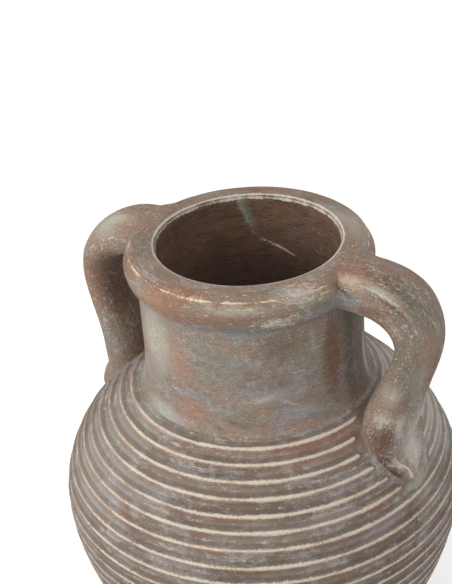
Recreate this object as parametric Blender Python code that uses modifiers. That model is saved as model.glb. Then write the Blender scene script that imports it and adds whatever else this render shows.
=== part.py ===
# Two-handled amphora planter in washed terracotta, built the way a potter builds a large one:
# a foot ring, a base slab, a thrown lower body, a thrown shoulder, a neck, a rolled rim and
# two handles, each a piece of its own, stepped together and luted with a film of slip.
# The foot stands on z = 0, the mouth opens along +Z and the handles lie along +X and -X.

import math

import bmesh
import bpy
from mathutils import Vector

# Overall sizes, in metres
POT_HEIGHT = 0.450
BELLY_RADIUS = 0.1805
BELLY_HEIGHT = 0.205
FOOT_RADIUS = 0.104
MOUTH_RADIUS = 0.078
NECK_RADIUS = 0.0965
WALL = 0.012

# Film of slip between two pieces of clay
SLIP_GAP = 0.0003

# Rolled rim
RIM_RADIUS = 0.1066
RIM_DEPTH = 0.0325
RIM_EDGE_WEAR = 0.0015
RIM_BULGE_DROP = 0.0145
RIM_SHELF = 0.0175
RIM_UNDERCUT = 0.0085

# Neck, its bore and the flare where it runs out over the shoulder
NECK_BORE_RADIUS = 0.080
NECK_FLARE_RADIUS = 0.104
NECK_FLARE_HEIGHT = 0.045
NECK_FLARE_LEAD_DOWN = 0.0315
NECK_FLARE_LEAD_OUT = 0.0037
NECK_BASE_DROP = 0.1324
NECK_BASE_SLOPE = math.radians(31.4)

# Roundness of the body: how far its curve keeps its direction at each end
SHOULDER_LEAD = 0.039
BELLY_LEAD_UP = 0.047
BELLY_LEAD_DOWN = 0.070
FOOT_LEAD = 0.058
FOOT_SLOPE = math.radians(60)

# Stepped joints between the thrown sections, and the thicker clay under the neck's tongue
TONGUE = 0.0095
TONGUE_WIDTH_SHARE = 0.5
NECK_JOINT_THICKENING = 0.0055

# Ribs drawn round the body
RIB_PITCH = 0.0132
RIB_HEIGHT = 0.0014
RIB_HALF_WIDTH = 0.0032
FIRST_RIB = 0.0085
PLAIN_BAND = 0.042

# Base slab, drain hole and foot ring
SLAB_THICKNESS = 0.014
DRAIN_RADIUS = 0.012
RING_HEIGHT = 0.010
RING_WIDTH = 0.020
RING_LEDGE = 0.005
EDGE_ROUND = 0.0015

# Handles, in the upright plane through the axis. Their toes sway to the same side of the pot.
HANDLE_ROOT_DEPTH = 0.017
HANDLE_ROOT_DROP = 0.0193
HANDLE_ROOT_TILT = math.radians(7)
HANDLE_REACH = 0.157
HANDLE_REACH_DROP = 0.0667
HANDLE_LEAD_OUT = 0.054
HANDLE_LEAD_BEND = 0.029
HANDLE_LEAD_DOWN = 0.036
HANDLE_LAND_DISTANCE = 0.038
HANDLE_TIP_DISTANCE = 0.083
HANDLE_TIP_SWAY = 0.010
HANDLE_PAD_LEAD = 0.0143
LEFT_HANDLE_TURN = math.radians(177)

# Half width and half thickness of a handle at its root, crown, waist, pad, toe and tip
HANDLE_STATIONS = (0.0, 0.22, 0.51, 0.79, 0.92, 1.0)
HANDLE_HALF_WIDTHS = (0.0328, 0.0358, 0.0272, 0.0352, 0.0250, 0.0080)
HANDLE_HALF_DEPTHS = (0.0190, 0.0190, 0.0166, 0.0198, 0.0130, 0.0045)

# Soft ridge along a handle's back: its share of the thickness, and how narrow it is
HANDLE_RIDGE = 0.10
HANDLE_RIDGE_SHARPNESS = 6

# Fineness of the turned and swept surfaces
TURN_STEPS = 44
LINE_STEPS = 64
FLARE_STEPS = 7
INNER_STEPS = 8
RIM_STEPS = 5
FITTING_STEPS = 16
HANDLE_PATH_STEPS = 24
HANDLE_RINGS = 20
HANDLE_SIDES = 14


def clear_scene():
    for item in list(bpy.data.objects):
        bpy.data.objects.remove(item, do_unlink=True)


def add_collection(name):
    collection = bpy.data.collections.new(name)
    bpy.context.scene.collection.children.link(collection)
    return collection


def clay(name, colour, roughness):
    material = bpy.data.materials.new(name)
    material.use_nodes = True
    shader = material.node_tree.nodes["Principled BSDF"]
    shader.inputs["Base Color"].default_value = (*colour, 1.0)
    shader.inputs["Roughness"].default_value = roughness
    shader.inputs["Metallic"].default_value = 0.0
    material.diffuse_color = (*colour, 1.0)
    return material


# Curves of the profile, as (radius, height) points


def bezier(start, start_handle, end_handle, end, steps):
    points = []
    for step in range(steps + 1):
        t = step / steps
        a, b, c, d = (1 - t) ** 3, 3 * t * (1 - t) ** 2, 3 * t * t * (1 - t), t**3
        points.append(start * a + start_handle * b + end_handle * c + end * d)
    return points


def neck_base():
    return Vector((NECK_FLARE_RADIUS, POT_HEIGHT - NECK_BASE_DROP))


def belly():
    return Vector((BELLY_RADIUS, BELLY_HEIGHT))


def shoulder_line():
    slope = Vector((math.cos(NECK_BASE_SLOPE), -math.sin(NECK_BASE_SLOPE)))
    return bezier(
        neck_base(),
        neck_base() + slope * SHOULDER_LEAD,
        belly() + Vector((0, BELLY_LEAD_UP)),
        belly(),
        LINE_STEPS,
    )


def lower_line():
    foot = Vector((FOOT_RADIUS, RING_HEIGHT + SLIP_GAP))
    rise = Vector((math.cos(FOOT_SLOPE), math.sin(FOOT_SLOPE)))
    return bezier(
        belly(),
        belly() - Vector((0, BELLY_LEAD_DOWN)),
        foot + rise * FOOT_LEAD,
        foot,
        LINE_STEPS,
    )


def line_length(line):
    return sum((b - a).length for a, b in zip(line, line[1:]))


def along(line, distance):
    """The point at this distance along the line, and the line's outward normal there."""
    left = distance
    for a, b in zip(line, line[1:]):
        step = (b - a).length
        if left <= step:
            break
        left -= step
    direction = (b - a).normalized()
    return a + direction * left, Vector((-direction.y, direction.x))


def ribbed(line, first_rib, last_rib_from_end):
    """The line as a turned outline with a rib at an even pitch between the two margins."""
    length = line_length(line)
    run = length - first_rib - last_rib_from_end
    spaces = max(1, round(run / RIB_PITCH))
    outline = [line[0]]
    for rib in range(spaces + 1):
        middle = first_rib + run * rib / spaces
        for offset, height in ((-RIB_HALF_WIDTH, 0), (0, RIB_HEIGHT), (RIB_HALF_WIDTH, 0)):
            point, normal = along(line, middle + offset)
            outline.append(point + normal * height)
    outline.append(line[-1])
    return outline


def inset(line, depth, steps):
    """Points on the inner side of a wall of this depth, in the line's own order."""
    length = line_length(line)
    points = []
    for step in range(steps + 1):
        point, normal = along(line, length * step / steps)
        points.append(point - normal * depth)
    return points


def quarter(centre, across, up, start, end):
    """A quarter of an ellipse, from one angle to the other."""
    points = []
    for step in range(RIM_STEPS + 1):
        angle = start + (end - start) * step / RIM_STEPS
        points.append(centre + Vector((across * math.cos(angle), up * math.sin(angle))))
    return points


# The rim, top to bottom along its outer side: a shelf, a worn shoulder and a rolled lip


def rim_outer():
    bulge_height = POT_HEIGHT - RIM_BULGE_DROP
    shelf_end = MOUTH_RADIUS + RIM_SHELF
    top_width = RIM_RADIUS - shelf_end
    lip_drop = RIM_DEPTH - RIM_BULGE_DROP
    edge = Vector((MOUTH_RADIUS + RIM_EDGE_WEAR, POT_HEIGHT))
    top_centre = Vector((shelf_end, bulge_height))
    lip_centre = Vector((RIM_RADIUS - RIM_UNDERCUT, bulge_height))
    top = quarter(top_centre, top_width, RIM_BULGE_DROP, math.pi / 2, 0)
    lip = quarter(lip_centre, RIM_UNDERCUT, lip_drop, 0, -math.pi / 2)
    return [edge] + top + lip[1:]


def lip_height():
    return POT_HEIGHT - RIM_DEPTH


def neck_outer():
    top = Vector((NECK_RADIUS, lip_height() - SLIP_GAP))
    flare_top = Vector((NECK_RADIUS, neck_base().y + NECK_FLARE_HEIGHT))
    slope = Vector((math.cos(NECK_BASE_SLOPE), -math.sin(NECK_BASE_SLOPE)))
    flare = bezier(
        flare_top,
        flare_top - Vector((0, NECK_FLARE_LEAD_DOWN)),
        neck_base() - slope * NECK_FLARE_LEAD_OUT,
        neck_base(),
        FLARE_STEPS,
    )
    return [top] + flare


def neck_tongue_radius():
    return NECK_BORE_RADIUS + (NECK_RADIUS - NECK_BORE_RADIUS) * TONGUE_WIDTH_SHARE


def belly_tongue_radius():
    return BELLY_RADIUS - WALL * TONGUE_WIDTH_SHARE


# Turned pieces


def turned(name, outline, material, collection):
    """One solid of revolution from a closed outline that runs down its outer side."""
    mesh = bpy.data.meshes.new(name)
    points = [(point[0], 0.0, point[1]) for point in outline]
    edges = [(i, (i + 1) % len(points)) for i in range(len(points))]
    mesh.from_pydata(points, edges, [])
    piece = bpy.data.objects.new(name, mesh)
    collection.objects.link(piece)
    turn = piece.modifiers.new("Turn", "SCREW")
    turn.axis = "Z"
    turn.angle = math.tau
    turn.screw_offset = 0.0
    turn.steps = turn.render_steps = TURN_STEPS
    turn.use_merge_vertices = True
    turn.merge_threshold = 0.0001
    turn.use_smooth_shade = True
    mesh.materials.append(material)
    return piece


def make_foot_ring(material, collection):
    top = RING_HEIGHT
    inner = FOOT_RADIUS - RING_WIDTH
    outline = [
        Vector((FOOT_RADIUS, top)),
        Vector((FOOT_RADIUS, EDGE_ROUND)),
        Vector((FOOT_RADIUS - EDGE_ROUND, 0)),
        Vector((inner + EDGE_ROUND, 0)),
        Vector((inner, EDGE_ROUND)),
        Vector((inner, top)),
    ]
    return turned("foot_ring", outline, material, collection)


def slab_radius():
    return FOOT_RADIUS - RING_WIDTH + RING_LEDGE


def make_base_slab(material, collection):
    bottom = RING_HEIGHT + SLIP_GAP
    top = bottom + SLAB_THICKNESS
    outline = [
        Vector((DRAIN_RADIUS + EDGE_ROUND, top)),
        Vector((slab_radius(), top)),
        Vector((slab_radius(), bottom)),
        Vector((DRAIN_RADIUS + EDGE_ROUND, bottom)),
        Vector((DRAIN_RADIUS, bottom + EDGE_ROUND)),
        Vector((DRAIN_RADIUS, top - EDGE_ROUND)),
    ]
    return turned("base_slab", outline, material, collection)


def make_lower_body(material, collection):
    line = lower_line()
    outer = ribbed(line, RIB_PITCH / 2, PLAIN_BAND)
    slab_top = RING_HEIGHT + SLIP_GAP + SLAB_THICKNESS
    socket = slab_radius() + SLIP_GAP
    wall_side = [point for point in inset(line, WALL, INNER_STEPS) if point.y > slab_top + WALL]
    wall_side[0] = Vector((BELLY_RADIUS - WALL, BELLY_HEIGHT))
    tongue_top = BELLY_HEIGHT + TONGUE
    outline = [
        Vector((BELLY_RADIUS - WALL, tongue_top)),
        Vector((belly_tongue_radius(), tongue_top)),
        Vector((belly_tongue_radius(), BELLY_HEIGHT)),
    ]
    outline += outer
    outline += [Vector((socket, RING_HEIGHT + SLIP_GAP)), Vector((socket, slab_top))]
    outline += reversed(wall_side)
    return turned("lower_body", outline, material, collection)


def make_shoulder(material, collection):
    line = shoulder_line()
    outer = ribbed(line, FIRST_RIB, RIB_PITCH / 2)
    outer[0] = outer[0] - Vector((0, SLIP_GAP))
    outer[-1] = outer[-1] + Vector((0, SLIP_GAP))
    socket = neck_tongue_radius() + SLIP_GAP
    lap = belly_tongue_radius() + SLIP_GAP
    lap_top = BELLY_HEIGHT + TONGUE + SLIP_GAP
    wall_side = [point for point in inset(line, WALL, INNER_STEPS) if point.y > lap_top + TONGUE]
    outline = [Vector((socket, neck_base().y - SLIP_GAP))]
    outline += outer
    outline += [Vector((lap, BELLY_HEIGHT + SLIP_GAP)), Vector((lap, lap_top))]
    outline += [Vector((BELLY_RADIUS - WALL, lap_top))]
    outline += reversed(wall_side)
    outline += [Vector((socket, neck_base().y - TONGUE - NECK_JOINT_THICKENING))]
    return turned("shoulder", outline, material, collection)


def make_neck(material, collection):
    outer = neck_outer()
    tongue = neck_tongue_radius()
    tongue_top = lip_height() - SLIP_GAP + TONGUE
    tongue_bottom = neck_base().y - TONGUE
    outline = [
        Vector((NECK_BORE_RADIUS, tongue_top)),
        Vector((tongue, tongue_top)),
        Vector((tongue, lip_height() - SLIP_GAP)),
    ]
    outline += outer
    outline += [
        Vector((tongue, neck_base().y)),
        Vector((tongue, tongue_bottom)),
        Vector((NECK_BORE_RADIUS, tongue_bottom)),
    ]
    return turned("neck", outline, material, collection)


def make_rim(material, collection):
    socket = neck_tongue_radius() + SLIP_GAP
    socket_top = lip_height() + TONGUE
    outline = rim_outer()
    outline += [
        Vector((socket, lip_height())),
        Vector((socket, socket_top)),
        Vector((NECK_BORE_RADIUS, socket_top)),
        Vector((MOUTH_RADIUS, POT_HEIGHT - RIM_EDGE_WEAR)),
    ]
    return turned("rim", outline, material, collection)


# Handles


def handle_path():
    """Centre line of a handle as (radius, height): out of the rim, over, down and onto the shoulder."""
    root = Vector((RIM_RADIUS - HANDLE_ROOT_DEPTH, POT_HEIGHT - HANDLE_ROOT_DROP))
    bend = Vector((HANDLE_REACH, POT_HEIGHT - HANDLE_REACH_DROP))
    shoulder = shoulder_line()
    landing, _ = along(shoulder, HANDLE_LAND_DISTANCE)
    tip, tip_normal = along(shoulder, HANDLE_TIP_DISTANCE)
    tip_slope = Vector((tip_normal.y, -tip_normal.x))
    out = Vector((math.cos(HANDLE_ROOT_TILT), math.sin(HANDLE_ROOT_TILT)))
    down = Vector((0, -1))
    over = bezier(
        root,
        root + out * HANDLE_LEAD_OUT,
        bend - down * HANDLE_LEAD_BEND,
        bend,
        HANDLE_PATH_STEPS,
    )
    fall = bezier(
        bend,
        bend + down * HANDLE_LEAD_BEND,
        landing - down * HANDLE_LEAD_DOWN,
        landing,
        HANDLE_PATH_STEPS,
    )
    pad = bezier(
        landing,
        landing + down * HANDLE_PAD_LEAD,
        tip - tip_slope * HANDLE_PAD_LEAD,
        tip,
        HANDLE_PATH_STEPS,
    )
    return over + fall[1:] + pad[1:]


def between(stations, values, place):
    """The value at this place, eased between the stations on each side of it."""
    for low, high, a, b in zip(stations, stations[1:], values, values[1:]):
        if place <= high:
            break
    share = (place - low) / (high - low)
    eased = share * share * (3 - 2 * share)
    return a + (b - a) * eased


def handle_section(place, half_width, half_depth):
    """One ring of a handle: an oval whose outer face carries a soft ridge, as (outward, sideways)."""
    points = []
    for side in range(HANDLE_SIDES):
        angle = math.tau * side / HANDLE_SIDES
        outward = math.cos(angle)
        ridge = 1 + HANDLE_RIDGE * max(0.0, outward) ** HANDLE_RIDGE_SHARPNESS
        points.append((half_depth * outward * ridge, half_width * math.sin(angle)))
    return points


def handle_mesh(name, tip_sway):
    path = handle_path()
    length = line_length(path)
    waist = HANDLE_STATIONS[2]
    shape = bmesh.new()
    rings = []
    for ring in range(HANDLE_RINGS + 1):
        place = ring / HANDLE_RINGS
        centre, normal = along(path, length * place)
        half_width = between(HANDLE_STATIONS, HANDLE_HALF_WIDTHS, place)
        half_depth = between(HANDLE_STATIONS, HANDLE_HALF_DEPTHS, place)
        section = handle_section(place, half_width, half_depth)
        sway = tip_sway * max(0.0, (place - waist) / (1 - waist))
        corners = []
        for outward, sideways in section:
            point = centre + normal * outward
            corners.append(shape.verts.new((point.x, sideways + sway, point.y)))
        rings.append(corners)
    for near_ring, far_ring in zip(rings, rings[1:]):
        for side in range(HANDLE_SIDES):
            after = (side + 1) % HANDLE_SIDES
            shape.faces.new(
                (near_ring[side], near_ring[after], far_ring[after], far_ring[side])
            )
    shape.faces.new(rings[0])
    shape.faces.new(rings[-1])
    bmesh.ops.recalc_face_normals(shape, faces=shape.faces)
    mesh = bpy.data.meshes.new(name)
    shape.to_mesh(mesh)
    shape.free()
    mesh.shade_smooth()
    return mesh


def grown(line, amount):
    """The line moved outward by this amount."""
    points = []
    for i, point in enumerate(line):
        before, after = line[max(i - 1, 0)], line[min(i + 1, len(line) - 1)]
        direction = (after - before).normalized()
        points.append(point + Vector((-direction.y, direction.x)) * amount)
    return points


def make_pot_cutter(collection):
    """The pot's outside, a film of slip larger, which shapes the ends of the handles."""
    core = DRAIN_RADIUS
    line = shoulder_line()
    piece_length = line_length(line) / FITTING_STEPS
    shoulder = [along(line, piece_length * step)[0] for step in range(FITTING_STEPS + 1)]
    outline = [Vector((core, POT_HEIGHT + SLIP_GAP))]
    outline += grown(rim_outer(), SLIP_GAP)
    outline += [Vector((NECK_RADIUS + SLIP_GAP, lip_height() - SLIP_GAP))]
    outline += grown(neck_outer()[1:-1], SLIP_GAP)
    outline += grown(shoulder, RIB_HEIGHT + SLIP_GAP)
    outline += [Vector((core, BELLY_HEIGHT))]
    cutter = turned("pot_cutter", outline, clay("cutter", (1, 0, 0), 1.0), collection)
    cutter.hide_render = True
    cutter.display_type = "WIRE"
    return cutter


def make_handle(name, turn, tip_sway, cutter, material, collection):
    handle = bpy.data.objects.new(name, handle_mesh(name, tip_sway))
    handle.data.materials.append(material)
    handle.rotation_euler = (0, 0, turn)
    collection.objects.link(handle)
    trim = handle.modifiers.new("Fit to pot", "BOOLEAN")
    trim.operation = "DIFFERENCE"
    trim.solver = "EXACT"
    trim.object = cutter
    return handle


def main():
    clear_scene()
    planter = add_collection("amphora_planter")
    cutters = add_collection("cutters")
    make_foot_ring(clay("foot clay", (0.30, 0.22, 0.17), 0.92), planter)
    make_base_slab(clay("slab clay", (0.28, 0.19, 0.15), 0.92), planter)
    make_lower_body(clay("lower body clay", (0.36, 0.30, 0.26), 0.88), planter)
    make_shoulder(clay("shoulder clay", (0.37, 0.32, 0.28), 0.88), planter)
    make_neck(clay("neck clay", (0.34, 0.26, 0.22), 0.88), planter)
    make_rim(clay("rim clay", (0.36, 0.27, 0.22), 0.88), planter)
    cutter = make_pot_cutter(cutters)
    right_clay = clay("right handle clay", (0.35, 0.28, 0.24), 0.86)
    left_clay = clay("left handle clay", (0.34, 0.28, 0.25), 0.86)
    make_handle("right_handle", 0.0, -HANDLE_TIP_SWAY, cutter, right_clay, planter)
    make_handle("left_handle", LEFT_HANDLE_TURN, HANDLE_TIP_SWAY, cutter, left_clay, planter)


main()
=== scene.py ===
import math
from functools import partial

import bpy
import numpy as np
from mathutils import Matrix, Vector, noise


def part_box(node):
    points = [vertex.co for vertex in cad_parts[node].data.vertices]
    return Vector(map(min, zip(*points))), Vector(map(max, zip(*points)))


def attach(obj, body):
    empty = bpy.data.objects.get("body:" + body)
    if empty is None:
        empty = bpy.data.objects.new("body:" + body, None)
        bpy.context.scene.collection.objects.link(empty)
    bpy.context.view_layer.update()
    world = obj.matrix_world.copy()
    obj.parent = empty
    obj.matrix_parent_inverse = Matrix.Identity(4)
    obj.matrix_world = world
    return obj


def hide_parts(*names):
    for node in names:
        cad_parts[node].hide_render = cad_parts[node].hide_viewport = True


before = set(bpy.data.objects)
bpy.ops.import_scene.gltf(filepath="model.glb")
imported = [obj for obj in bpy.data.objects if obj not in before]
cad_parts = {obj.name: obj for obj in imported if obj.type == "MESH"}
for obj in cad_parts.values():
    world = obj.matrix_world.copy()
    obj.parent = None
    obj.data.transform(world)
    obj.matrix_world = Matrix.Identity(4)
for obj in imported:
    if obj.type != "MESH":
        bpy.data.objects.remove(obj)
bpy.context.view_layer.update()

# Washed terracotta amphora planter: the clay pieces are modelled in millimetres, in the frame's axes

mm = 0.001
print("frame loaded:", len(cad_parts), "pieces of clay")


def addObject(name, data):
    thing = bpy.data.objects.new(name, data)
    bpy.context.scene.collection.objects.link(thing)
    return thing


# Camera: where the pot is seen from, worked out from the ellipses of the mouth, the lip and the ribs

view = dict(
    turn=33.2,  # degrees the camera stands round from the front of the pot's X axis
    lookDown=30.64,  # degrees below the horizon
    lean=-4.42,  # roll of the picture, in degrees
    back=970.3,  # mm from the pot's axis
    side=-21.7,  # mm to the side of the axis
    above=522.6,  # mm over the mouth
    focal=1309.6,  # pixels
    pictureHeight=584,  # pixels
)


def makeCamera(mouthHeight):
    data = bpy.data.cameras.new("photo camera")
    camera = addObject("photo camera", data)
    turned = Matrix.Rotation(math.radians(view["turn"]), 4, "Z")
    place = turned @ Vector((view["side"], -view["back"], view["above"] + mouthHeight)) * mm
    tilt = Matrix.Rotation(math.radians(90 - view["lookDown"]), 4, "X")
    lean = Matrix.Rotation(math.radians(view["lean"]), 4, "Z")
    camera.matrix_world = Matrix.Translation(place) @ turned @ tilt @ lean
    # the sensor's width lies along the longer side, which is the picture's height
    data.lens = view["focal"] / view["pictureHeight"] * data.sensor_width
    data.clip_start = 0.01
    bpy.context.scene.camera = camera


# Nodes and colours


def addNode(tree, kind, *feeds, **settings):
    # one node with its settings, and what feeds its inputs, in their order or as one dictionary: each is a
    # node (its first output), a socket or a value
    node = tree.nodes.new(kind)
    for name, value in settings.items():
        setattr(node, name, value)
    inputs = feeds[0] if feeds and isinstance(feeds[0], dict) else dict(enumerate(feeds))
    for key, value in inputs.items():
        if isinstance(value, bpy.types.Node):
            value = value.outputs[0]
        if isinstance(value, bpy.types.NodeSocket):
            tree.links.new(value, node.inputs[key])
        else:
            node.inputs[key].default_value = value
    return node


def emptied(owner):
    # a material or world without nodes, ready for addNode
    owner.use_nodes = True
    owner.node_tree.nodes.clear()
    return partial(addNode, owner.node_tree)


def linearColour(hexText):
    channels = [int(hexText[i:i + 2], 16) / 255 for i in (1, 3, 5)]
    return tuple(c / 12.92 if c <= 0.04045 else ((c + 0.055) / 1.055) ** 2.4 for c in channels) + (1.0,)


# Washed terracotta: low-fired clay, so matt and grainy, brushed with a grey limewash and rubbed back by
# hand. The wash stays in the hollows and the rubbing leaves cream lime and bare orange clay on the edges.

clayHex = dict(
    # the darkest brown is dark streaks, and also painted shade in the hollow's depths, creases and flanks
    soot="#2c1d15", umber="#54443a", walnut="#5e4232", taupe="#80746a", rust="#8a5a43",
    terracotta="#9c7460", orange="#bd8f6c", ash="#a5a29b", lilac="#969194", slate="#84888a",
    moss="#7f7d70", lime="#b9b8a9", cream="#d6cfbf", pale="#c2beb6", olive="#595041",
)

marks = dict(
    grit=1.8,  # mm between the grains of the clay, drawn coarser than they are so that they show
    smudge=6.0,  # mm across a smear of the rag
    waver=7.0,  # mm along a brush stroke over which it strays
    stray=2.4,  # and how far it strays
    hair=2.4,  # mm between the tears across a rubbed rib
    worn=9.0,  # mm between the bare spots on a rubbed rib
    wornRing=16.0,  # and on a rubbed ring
    tear=1.2,  # share of the bristle marks in the torn edges, beside the grit's and the smears'
    spotEdge=(1.3, 0.3),  # a spot's paint begins and is whole at these shares of its size
    lineEdge=0.4,  # a line's paint is whole at this share of its width
    hollow=(-0.35, -0.75),  # turn of a face to the axis where the hollow's clay begins and is whole
    turned=1.5,  # mm that a line off a crest is widened on its own slope and narrowed on the other
    thinSide=-0.3,  # cosine of the turn from a look's thickSide past which its lines get no thinner
    gritShade=1.4, smudgeShade=0.7,  # shares in the light and dark, beside the bristle marks' 1
    shadeRange=(1.0, 2.1),  # the darkest and the lightest sum of the three
    relief=0.35,  # mm that the grit stands proud
    bristleRelief=0.7, smudgeRelief=1.6,  # shares in the relief, beside the grit's 1
    gloss=0.07,  # how much the smears change the roughness
    glossRange=(0.3, 0.7),  # between these values of the smears
    ior=1.5,
)


def washedClay(name, look):
    material = bpy.data.materials.new(name)
    material.diffuse_color = linearColour(look["clay"])
    node = emptied(material)
    objectPlace = node("ShaderNodeTexCoord").outputs["Object"]
    place = node("ShaderNodeVectorMath", {0: objectPlace, "Scale": 1 / mm}, operation="SCALE")
    parts = node("ShaderNodeSeparateXYZ", place).outputs
    flat = node("ShaderNodeCombineXYZ", parts["X"], parts["Y"])
    fromAxis = node("ShaderNodeVectorMath", flat, operation="LENGTH").outputs["Value"]

    # the run of the brush, which wavers a little as a hand's strokes do
    brush = node("ShaderNodeAttribute", attribute_name="brush").outputs["Vector"]
    inputs = {"Vector": place, "Scale": 1 / marks["waver"], "Detail": 1.0}
    waver = node("ShaderNodeTexNoise", inputs).outputs["Color"]
    inputs = {0: waver, 1: [marks["stray"]] * 3, 2: brush}
    brush = node("ShaderNodeVectorMath", inputs, operation="MULTIPLY_ADD")

    def cloud(size, stretch, seed, detail, swirl=0.0):
        # clouds this many mm across, drawn out this many times along the brush strokes
        scale = [1 / (size * stretch) if along else 1 / size for along in look["strokes"]]
        where = node("ShaderNodeVectorMath", brush, scale, operation="MULTIPLY")
        inputs = {"Vector": where, "W": seed, "Scale": 1.0, "Detail": detail, "Roughness": 0.6}
        return node("ShaderNodeTexNoise", dict(inputs, Distortion=swirl), noise_dimensions="4D")

    seed = look["seed"]
    inputs = {"Vector": place, "Scale": 1 / marks["grit"], "Detail": 2.5, "Roughness": 0.8}
    grain = node("ShaderNodeTexNoise", inputs)
    inputs = {"Vector": place, "Scale": 1 / marks["smudge"], "Detail": 5.0, "Roughness": 0.7}
    smudge = node("ShaderNodeTexNoise", inputs)
    bristle = cloud(*look["bristle"], seed, 3.0, 0.6)
    hair = cloud(marks["hair"], 0.35, seed, 1.0)

    # all of them together tear the edges of each coat of paint, as much inwards as outwards
    tatter = node("ShaderNodeMath", smudge, grain, operation="ADD")
    tatter = node("ShaderNodeMath", bristle, marks["tear"], tatter, operation="MULTIPLY_ADD")
    tatter = node("ShaderNodeMath", tatter, (2 + marks["tear"]) / 2, operation="SUBTRACT")

    def paintOver(colour, value, bare, full, strength, ragged, paint):
        # paint lies where the value, torn by the tatter, has passed from bare to full
        torn = node("ShaderNodeMath", tatter, ragged, value, operation="MULTIPLY_ADD")
        inputs = {0: torn, 1: bare, 2: full, 3: 0.0, 4: strength}
        mask = node("ShaderNodeMapRange", inputs, interpolation_type="SMOOTHSTEP")
        if isinstance(paint, str):
            paint = linearColour(clayHex[paint])
        return node("ShaderNodeMix", {0: mask, 6: colour, 7: paint}, data_type="RGBA").outputs[2]

    def washes(clay, layers, seed):
        colour = node("ShaderNodeRGB").outputs[0]
        colour.default_value = linearColour(clay)
        for turn, (paint, size, stretch, bare, full, strength, ragged) in enumerate(layers):
            cover = cloud(size, stretch, seed + 7.3 * (turn + 1), 4.0, 1.2)
            colour = paintOver(colour, cover, bare, full, strength, ragged, paint)
        return colour

    def fromSpot(where, centre, turn, size):
        # 0 in the middle of a spot and 1 at its edge
        inputs = {"Vector": where, "Location": centre, "Rotation": turn, "Scale": size}
        near = node("ShaderNodeMapping", inputs, vector_type="TEXTURE")
        return node("ShaderNodeVectorMath", near, operation="LENGTH").outputs["Value"]

    def frayed(away, worn, patchy, fine, hairy, thinner=0.0):
        # a line's distance made larger in spots and along its edges, so that it breaks up there
        away = node("ShaderNodeMath", worn, -2 * patchy, away, operation="MULTIPLY_ADD")
        away = node("ShaderNodeMath", fine, -2 * hairy, away, operation="MULTIPLY_ADD")
        return node("ShaderNodeMath", away, patchy + hairy + thinner, operation="ADD")

    colour = washes(look["clay"], look["layers"], seed)

    # the hollow is darker and barer: there the face turns to the axis, and deeper down it gets painted shade
    if "inside" in look:
        hollow = washes(look["inside"]["clay"], look["inside"]["layers"], seed + 40)
        # painted shade: the hollow darkens from the top down to the given depth
        drop, paint, strength = look["inside"]["depthShade"]
        depthShade = node("ShaderNodeMapRange", parts["Z"], pot["top"], pot["top"] - drop)
        hollow = paintOver(hollow, depthShade, 0.0, 1.0, strength, 0.3, paint)
        facing = node("ShaderNodeNewGeometry").outputs["Normal"]
        toAxis = node("ShaderNodeVectorMath", facing, flat, operation="DOT_PRODUCT").outputs["Value"]
        toAxis = node("ShaderNodeMath", toAxis, fromAxis, operation="DIVIDE")
        colour = paintOver(colour, toAxis, *marks["hollow"], 1.0, 0.3, hollow)

    for azimuth, radius, height, size, tilt, paint, strength, ragged in look.get("patches", ()):
        angle = math.radians(azimuth)
        centre = (radius * math.cos(angle), radius * math.sin(angle), height)
        away = fromSpot(place, centre, (math.radians(tilt), 0, angle), size)
        colour = paintOver(colour, away, *marks["spotEdge"], strength, ragged, paint)

    for along, across, (long, wide), paint, strength, ragged in look.get("streaks", ()):
        away = fromSpot(brush, (along, 0, across), (0, 0, 0), (long, 1e6, wide))
        colour = paintOver(colour, away, *marks["spotEdge"], strength, ragged, paint)

    for radius, height, width, patchy, hairy, paint, strength, ragged in look.get("rings", ()):
        outRing = node("ShaderNodeMath", fromAxis, radius, operation="SUBTRACT")
        upRing = node("ShaderNodeMath", parts["Z"], height, operation="SUBTRACT")
        away = node("ShaderNodeCombineXYZ", outRing, upRing)
        away = node("ShaderNodeVectorMath", away, operation="LENGTH").outputs["Value"]
        inputs = {"Vector": place, "W": radius - height, "Scale": 1 / marks["wornRing"], "Detail": 3.0}
        worn = node("ShaderNodeTexNoise", inputs, noise_dimensions="4D")
        away = frayed(away, worn, patchy, grain, hairy)
        colour = paintOver(colour, away, width, marks["lineEdge"] * width, strength, ragged, paint)

    if "crest" in look:
        crest = node("ShaderNodeAttribute", attribute_name="crest").outputs["Fac"]
        slope = node("ShaderNodeAttribute", attribute_name="slope").outputs["Fac"]
        side = math.radians(look["thickSide"])
        inputs = {0: flat, 1: (math.cos(side), math.sin(side), 0)}
        facing = node("ShaderNodeVectorMath", inputs, operation="DOT_PRODUCT").outputs["Value"]
        facing = node("ShaderNodeMath", facing, fromAxis, operation="DIVIDE")
        facing = node("ShaderNodeMath", facing, marks["thinSide"], operation="MAXIMUM")
        for middle, width, thinner, patchy, hairy, paint, strength, ragged in look["crest"]:
            uphill = -marks["turned"] * float(np.sign(middle))
            away = node("ShaderNodeMath", crest, abs(middle), operation="SUBTRACT")
            away = node("ShaderNodeMath", away, operation="ABSOLUTE")
            away = node("ShaderNodeMath", slope, uphill, away, operation="MULTIPLY_ADD")
            away = node("ShaderNodeMath", facing, -thinner, away, operation="MULTIPLY_ADD")
            worn = cloud(marks["worn"], 3, width, 3.0)
            away = frayed(away, worn, patchy, hair, hairy, thinner)
            colour = paintOver(colour, away, width, marks["lineEdge"] * width, strength, ragged, paint)

    # grain, bristles and smudges also lighten and darken the wash a little
    shade = node("ShaderNodeMath", grain, marks["gritShade"], bristle, operation="MULTIPLY_ADD")
    shade = node("ShaderNodeMath", smudge, marks["smudgeShade"], shade, operation="MULTIPLY_ADD")
    mottle = look["mottle"]
    shade = node("ShaderNodeMapRange", shade, *marks["shadeRange"], 1 - mottle, 1 + mottle)
    colour = node("ShaderNodeVectorMath", {0: colour, "Scale": shade}, operation="SCALE")

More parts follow.
